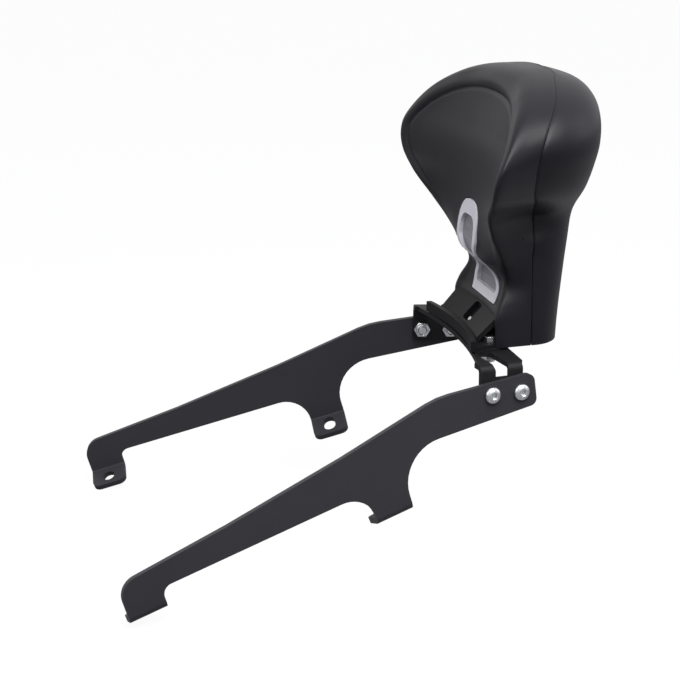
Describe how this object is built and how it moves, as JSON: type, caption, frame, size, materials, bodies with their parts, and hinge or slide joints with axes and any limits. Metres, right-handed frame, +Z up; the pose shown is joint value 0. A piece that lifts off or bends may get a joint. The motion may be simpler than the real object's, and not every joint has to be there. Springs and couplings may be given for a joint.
{
  "type": "sissy bar with backrest",
  "caption": "Sissy bar for a motorbike: two black steel side arms, a folded cross bracket and a moulded black passenger backrest with a silver trim.",
  "frame": {"origin": "on the mid-plane, midway between the arms' outer faces, level with the folds of the two mid feet", "axes": "+X to the rider's left, +Y to the rear, +Z up and square to the cross bracket's top"},
  "size_m": [0.324, 0.4076, 0.404],
  "materials": {
    "arm_black": "satin black powder coat on 5 mm steel plate",
    "bracket_black": "satin black powder coat on folded steel",
    "bright_steel": "bright stainless, turned and pressed",
    "base_rubber": "matt black rubber sheet",
    "foot_moulding": "moulded black plastic, fine satin grain",
    "cushion_skin": "soft black vinyl skin with a fine grain",
    "shell_plastic": "moulded black plastic, satin grain",
    "trim_silver": "silver paint on moulded plastic"
  },
  "bodies": {
    "root": {"left_arm": "arm_black", "right_arm": "arm_black", "cross_bracket": "bracket_black", "arm_bolt_left_front": "bright_steel", "arm_bolt_left_rear": "bright_steel", "arm_bolt_right_front": "bright_steel", "arm_bolt_right_rear": "bright_steel", "arm_nut_left_front": "bright_steel", "arm_nut_left_rear": "bright_steel", "arm_nut_right_front": "bright_steel", "arm_nut_right_rear": "bright_steel", "base_gasket": "base_rubber", "base_bolt_left": "bright_steel", "base_bolt_right": "bright_steel", "base_nut_left": "bright_steel", "base_nut_right": "bright_steel", "neck_cover": "foot_moulding", "cover_screw": "bright_steel", "front_cushion": "cushion_skin", "rear_shell": "shell_plastic", "trim": "trim_silver"}
  },
  "joints": []
}
